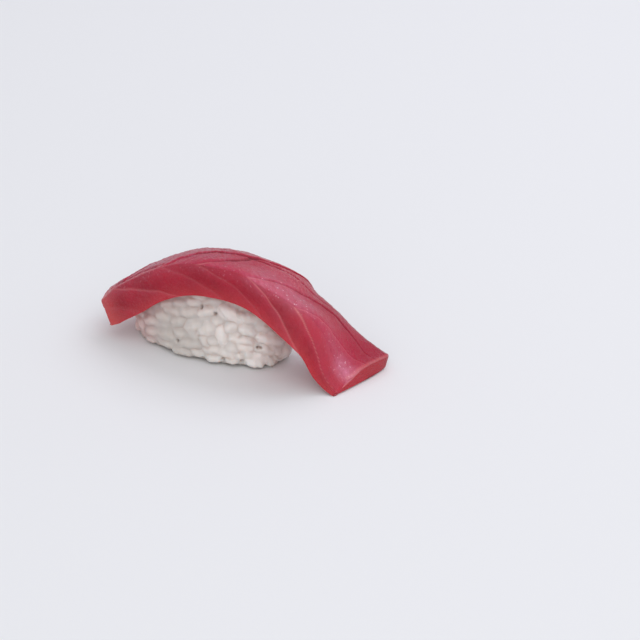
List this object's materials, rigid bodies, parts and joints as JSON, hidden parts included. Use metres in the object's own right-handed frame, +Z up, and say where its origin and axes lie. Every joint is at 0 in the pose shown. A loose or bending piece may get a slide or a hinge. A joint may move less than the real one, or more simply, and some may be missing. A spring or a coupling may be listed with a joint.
{
  "type": "tuna nigiri",
  "caption": "Nigiri sushi: a thick slice of raw red tuna with slanting flake seams, arched over an oval ball of pressed white rice, one end of the slice touching the table.",
  "frame": {"origin": "centre of the footprint of the whole piece, on the table", "axes": "+Z up; +X along the slice towards the end that rests on the table; -Y towards the tall cut face"},
  "size_m": [0.0822, 0.0277, 0.0297],
  "materials": {
    "tuna": "raw tuna: deep rose red, moist and slightly translucent, pale seams between the flakes",
    "rice": "cooked short-grain rice: milky white, slightly translucent, faintly moist"
  },
  "bodies": {
    "root": {"tuna_slice": "tuna", "rice": "rice"}
  },
  "joints": []
}
